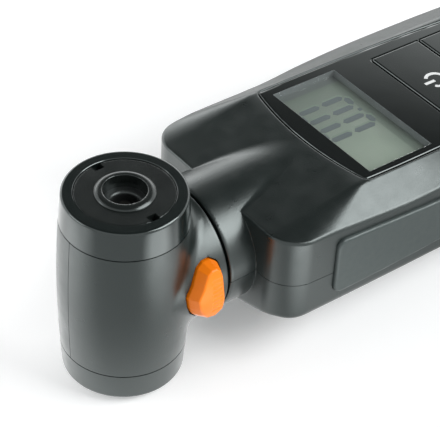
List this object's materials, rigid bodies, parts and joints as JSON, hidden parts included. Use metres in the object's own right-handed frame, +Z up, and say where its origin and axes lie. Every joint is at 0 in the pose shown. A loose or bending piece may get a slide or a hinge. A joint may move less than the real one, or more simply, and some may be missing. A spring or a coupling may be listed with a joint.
{
  "type": "digital tyre pressure gauge with swivel valve head",
  "caption": "Hand-held digital tyre gauge: barrel valve head swivelling on a flat handle, press-to-deflate button, display window and push keys.",
  "frame": {"origin": "centre of the barrel's lower rim, at the mouth of the lower valve opening", "axes": "+Z up the barrel axis to the upper valve opening, +X from the barrel along the handle to its tail"},
  "size_m": [0.1326, 0.0492, 0.043],
  "materials": {
    "cap_plastic": "satin gloss",
    "ring_plastic": "gloss",
    "shell_plastic": "satin, fine grain",
    "seal_rubber": "matte",
    "grip_rubber": "soft matte",
    "block_metal": "machined",
    "brass_parts": "machined",
    "steel_parts": "bright",
    "washer_plastic": "matte",
    "button_plastic": "satin",
    "bearing_plastic": "natural",
    "hose_silicone": "soft",
    "board_laminate": "solder mask",
    "chip_plastic": "matte",
    "panel_plastic": "high gloss",
    "window_clear": "clear",
    "display_glass": "liquid crystal glass",
    "strip_rubber": "matte",
    "door_plastic": "satin"
  },
  "bodies": {
    "handle": {"top_shell": "shell_plastic", "bottom_shell": "shell_plastic", "body_screws": "steel_parts", "swivel_bearing": "bearing_plastic", "sensor_block": "bearing_plastic", "air_hose": "hose_silicone", "pressure_sensor": "chip_plastic", "circuit_board": "board_laminate", "board_screws": "steel_parts", "controller_chip": "chip_plastic", "display_panel": "panel_plastic", "display_window": "window_clear", "display_glass": "display_glass", "contact_strip_front": "strip_rubber", "contact_strip_rear": "strip_rubber", "power_switch": "chip_plastic", "unit_switch": "chip_plastic", "grip_near": "grip_rubber", "grip_far": "grip_rubber", "coin_cell": "steel_parts", "contact_plus": "steel_parts", "contact_minus": "steel_parts"},
    "head": {"top_cap": "cap_plastic", "bottom_cap": "cap_plastic", "top_ring": "ring_plastic", "bottom_ring": "ring_plastic", "top_seal": "seal_rubber", "bottom_seal": "seal_rubber", "head_shell_near": "shell_plastic", "head_shell_far": "shell_plastic", "head_screws": "steel_parts", "air_block": "block_metal", "top_core_pin": "brass_parts", "bottom_core_pin": "brass_parts", "swivel_spigot": "brass_parts", "spigot_o_rings": "seal_rubber", "spigot_clip": "steel_parts", "swivel_washer": "washer_plastic", "deflate_spring": "steel_parts"},
    "deflate_push": {"deflate_button": "button_plastic", "deflate_stem": "steel_parts", "deflate_seal": "seal_rubber"},
    "power_push": {"power_key": "panel_plastic", "power_plunger": "chip_plastic"},
    "unit_push": {"unit_key": "panel_plastic", "unit_plunger": "chip_plastic"},
    "bay_door": {"battery_door": "door_plastic", "door_seal": "seal_rubber"}
  },
  "joints": [
    {"name": "head_swivel", "type": "hinge", "parent": "handle", "child": "head", "pos_m": [0.0151, 0, 0.02125], "axis": [1, 0, 0], "continuous": true},
    {"name": "deflate_press", "type": "slide", "parent": "head", "child": "deflate_push", "axis": [0, 0.9833, -0.1822], "range_m": [0, 0.0012], "stiffness_N_per_m": 400, "springref_m": -0.002, "deforming": ["deflate_spring"]},
    {"name": "power_press", "type": "slide", "parent": "handle", "child": "power_push", "axis": [-0.0384, 0, -0.9993], "range_m": [0, 0.0005], "stiffness_N_per_m": 1000, "springref_m": -0.0006},
    {"name": "unit_press", "type": "slide", "parent": "handle", "child": "unit_push", "axis": [-0.0384, 0, -0.9993], "range_m": [0, 0.0005], "stiffness_N_per_m": 1000, "springref_m": -0.0006},
    {"name": "battery_door_turn", "type": "hinge", "parent": "handle", "child": "bay_door", "pos_m": [0.0877, 0, 0.0076], "axis": [0, 0, 1], "range_deg": [0, 35]}
  ]
}
